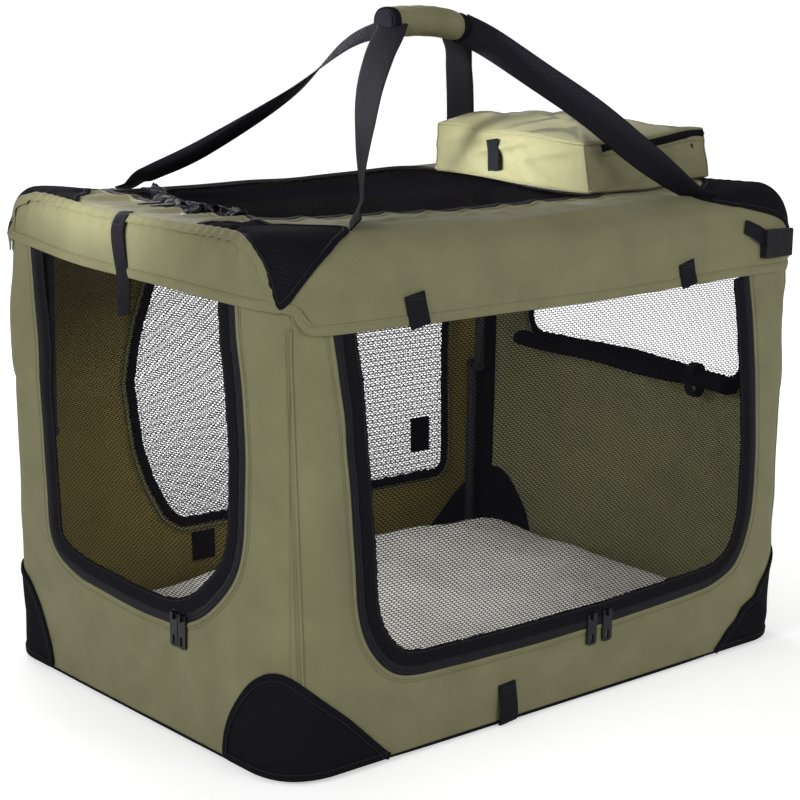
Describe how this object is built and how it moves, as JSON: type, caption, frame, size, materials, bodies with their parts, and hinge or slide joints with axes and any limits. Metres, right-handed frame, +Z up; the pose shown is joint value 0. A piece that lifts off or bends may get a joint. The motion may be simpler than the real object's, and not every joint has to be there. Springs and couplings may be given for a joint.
{
  "type": "soft folding dog crate",
  "caption": "Soft-sided folding dog crate: fabric walls over a folding tube frame, zipped net doors, a top hatch, a pouch and a padded carry grip.",
  "frame": {"origin": "middle of the floor panel's underside, on the surface that the crate stands on", "axes": "+X along the long side, away from the end door; the front door faces -Y; +Z is up"},
  "size_m": [0.828, 0.5918, 0.81],
  "materials": {
    "olive_polyester": "plain woven polyester, slightly sheened",
    "cream_fleece": "soft short-pile fleece",
    "black_net": "knitted net with round gaps",
    "black_webbing": "woven webbing and heavy patch cloth",
    "painted_steel": "dark powder-coated steel tube",
    "black_plastic": "moulded, fairly glossy"
  },
  "bodies": {
    "root": {"floor_panel": "olive_polyester", "sleeping_mat": "cream_fleece", "base_frame": "painted_steel", "front_wall": "olive_polyester", "back_wall": "olive_polyester", "left_end_wall": "olive_polyester", "right_end_wall": "olive_polyester", "back_window_net": "black_net", "right_window_roll": "black_net", "right_window_tie": "black_webbing", "front_ground_loop": "black_webbing", "front_left_foot_patch": "black_webbing", "front_right_foot_patch": "black_webbing", "back_left_foot_patch": "black_webbing", "back_right_foot_patch": "black_webbing"},
    "left_lower_legs": {"front_left_lower_leg": "painted_steel", "back_left_lower_leg": "painted_steel"},
    "left_upper_legs": {"front_left_upper_leg": "painted_steel", "back_left_upper_leg": "painted_steel"},
    "right_lower_legs": {"front_right_lower_leg": "painted_steel", "back_right_lower_leg": "painted_steel"},
    "right_upper_legs": {"front_right_upper_leg": "painted_steel", "back_right_upper_leg": "painted_steel"},
    "top": {"top_frame": "painted_steel", "top_cover": "olive_polyester", "pouch_body": "olive_polyester", "pouch_tab": "black_webbing", "front_carry_strap": "black_webbing", "back_carry_strap": "black_webbing", "left_hanging_strap": "black_webbing", "left_toggle_tab": "black_webbing", "right_toggle_tab": "black_webbing", "buckle_socket": "black_plastic", "front_left_top_patch": "black_webbing", "front_right_top_patch": "black_webbing", "back_left_top_patch": "black_webbing", "back_right_top_patch": "black_webbing"},
    "front_door": {"front_door": "black_net"},
    "left_end_door": {"left_end_door": "black_net"},
    "top_hatch": {"top_hatch": "black_net"},
    "pouch_lid": {"pouch_lid": "olive_polyester"},
    "handle": {"grip": "olive_polyester"},
    "buckle_plug": {"buckle_plug": "black_plastic"},
    "front_zip_1": {"front_zip_1_slider": "black_plastic"},
    "front_zip_1_tag": {"front_zip_1_pull": "black_plastic"},
    "front_zip_2": {"front_zip_2_slider": "black_plastic"},
    "front_zip_2_tag": {"front_zip_2_pull": "black_plastic"},
    "end_zip_1": {"end_zip_1_slider": "black_plastic"},
    "end_zip_1_tag": {"end_zip_1_pull": "black_plastic"},
    "end_zip_2": {"end_zip_2_slider": "black_plastic"},
    "end_zip_2_tag": {"end_zip_2_pull": "black_plastic"},
    "hatch_zip_1": {"hatch_zip_1_slider": "black_plastic"},
    "hatch_zip_1_tag": {"hatch_zip_1_pull": "black_plastic"},
    "hatch_zip_2": {"hatch_zip_2_slider": "black_plastic"},
    "hatch_zip_2_tag": {"hatch_zip_2_pull": "black_plastic"},
    "pouch_zip": {"pouch_zip_slider": "black_plastic"},
    "pouch_zip_tag": {"pouch_zip_pull": "black_plastic"}
  },
  "joints": [
    {"name": "frame_fold", "type": "hinge", "parent": "root", "child": "left_lower_legs", "pos_m": [-0.362, 0, 0.0308], "axis": [0, 1, 0], "range_deg": [0, 84], "deforming": ["front_wall", "back_wall", "left_end_wall", "right_end_wall", "back_window_net", "right_window_roll", "right_window_tie", "front_door", "left_end_door", "front_left_foot_patch", "front_right_foot_patch", "back_left_foot_patch", "back_right_foot_patch"]},
    {"name": "left_elbow", "type": "hinge", "parent": "left_lower_legs", "child": "left_upper_legs", "pos_m": [-0.362, 0, 0.28287], "axis": [0, 1, 0], "range_deg": [-168, 0]},
    {"name": "left_head", "type": "hinge", "parent": "left_upper_legs", "child": "top", "pos_m": [-0.362, 0, 0.53494], "axis": [0, 1, 0], "range_deg": [0, 84]},
    {"name": "right_foot", "type": "hinge", "parent": "root", "child": "right_lower_legs", "pos_m": [0.362, 0, 0.0308], "axis": [0, 1, 0], "range_deg": [-84, 0]},
    {"name": "right_elbow", "type": "hinge", "parent": "right_lower_legs", "child": "right_upper_legs", "pos_m": [0.362, 0, 0.28287], "axis": [0, 1, 0], "range_deg": [0, 168]},
    {"name": "front_door_hinge", "type": "hinge", "parent": "root", "child": "front_door", "pos_m": [0, -0.2885, 0.4785], "axis": [1, 0, 0], "range_deg": [-80, 0]},
    {"name": "left_end_door_hinge", "type": "hinge", "parent": "root", "child": "left_end_door", "pos_m": [-0.4085, 0, 0.4985], "axis": [0, -1, 0], "range_deg": [-80, 0], "deforming": ["left_hanging_strap"]},
    {"name": "top_hatch_hinge", "type": "hinge", "parent": "top", "child": "top_hatch", "pos_m": [0.1952, 0, 0.5785], "axis": [0, 1, 0], "range_deg": [-78, 0]},
    {"name": "pouch_lid_hinge", "type": "hinge", "parent": "top", "child": "pouch_lid", "pos_m": [0.208, 0, 0.6406], "axis": [0, 1, 0], "range_deg": [-30, 0]},
    {"name": "handle_drop", "type": "slide", "parent": "top", "child": "handle", "axis": [0, 0, -1], "range_m": [0, 0.06], "deforming": ["front_carry_strap", "back_carry_strap"]},
    {"name": "buckle_release", "type": "slide", "parent": "top", "child": "buckle_plug", "axis": [1, 0, 0], "range_m": [0, 0.025]},
    {"name": "front_zip_1_run", "type": "slide", "parent": "root", "child": "front_zip_1", "axis": [1, 0, 0], "range_m": [-0.26, 0]},
    {"name": "front_zip_1_swing", "type": "hinge", "parent": "front_zip_1", "child": "front_zip_1_tag", "pos_m": [0.043, -0.2939, 0.096], "axis": [-1, 0, 0], "range_deg": [0, 90]},
    {"name": "front_zip_2_run", "type": "slide", "parent": "root", "child": "front_zip_2", "axis": [-1, 0, 0], "range_m": [-0.19, 0]},
    {"name": "front_zip_2_swing", "type": "hinge", "parent": "front_zip_2", "child": "front_zip_2_tag", "pos_m": [0.069, -0.2939, 0.096], "axis": [-1, 0, 0], "range_deg": [0, 90]},
    {"name": "end_zip_1_run", "type": "slide", "parent": "root", "child": "end_zip_1", "axis": [0, -1, 0], "range_m": [-0.2, 0]},
    {"name": "end_zip_1_swing", "type": "hinge", "parent": "end_zip_1", "child": "end_zip_1_tag", "pos_m": [-0.4139, -0.084, 0.132], "axis": [0, 1, 0], "range_deg": [0, 90]},
    {"name": "end_zip_2_run", "type": "slide", "parent": "root", "child": "end_zip_2", "axis": [0, 1, 0], "range_m": [-0.04, 0]},
    {"name": "end_zip_2_swing", "type": "hinge", "parent": "end_zip_2", "child": "end_zip_2_tag", "pos_m": [-0.4139, -0.098, 0.132], "axis": [0, 1, 0], "range_deg": [0, 90]},
    {"name": "hatch_zip_1_run", "type": "slide", "parent": "top", "child": "hatch_zip_1", "axis": [0, 1, 0], "range_m": [-0.127, 0]},
    {"name": "hatch_zip_1_swing", "type": "hinge", "parent": "hatch_zip_1", "child": "hatch_zip_1_tag", "pos_m": [-0.336, 0.012, 0.5839], "axis": [0, 1, 0], "range_deg": [0, 90]},
    {"name": "hatch_zip_2_run", "type": "slide", "parent": "top", "child": "hatch_zip_2", "axis": [0, -1, 0], "range_m": [-0.13, 0]},
    {"name": "hatch_zip_2_swing", "type": "hinge", "parent": "hatch_zip_2", "child": "hatch_zip_2_tag", "pos_m": [-0.336, 0.038, 0.5839], "axis": [0, 1, 0], "range_deg": [0, 90]},
    {"name": "pouch_zip_run", "type": "slide", "parent": "top", "child": "pouch_zip", "axis": [1, 0, 0], "range_m": [-0.13, 0]},
    {"name": "pouch_zip_swing", "type": "hinge", "parent": "pouch_zip", "child": "pouch_zip_tag", "pos_m": [0.368, -0.1319, 0.6303], "axis": [-1, 0, 0], "range_deg": [0, 90]}
  ],
  "couplings": [
    {"joint": "left_elbow", "follows": "frame_fold", "ratio": -2},
    {"joint": "left_head", "follows": "frame_fold", "ratio": 1},
    {"joint": "right_foot", "follows": "frame_fold", "ratio": -1},
    {"joint": "right_elbow", "follows": "frame_fold", "ratio": 2}
  ]
}
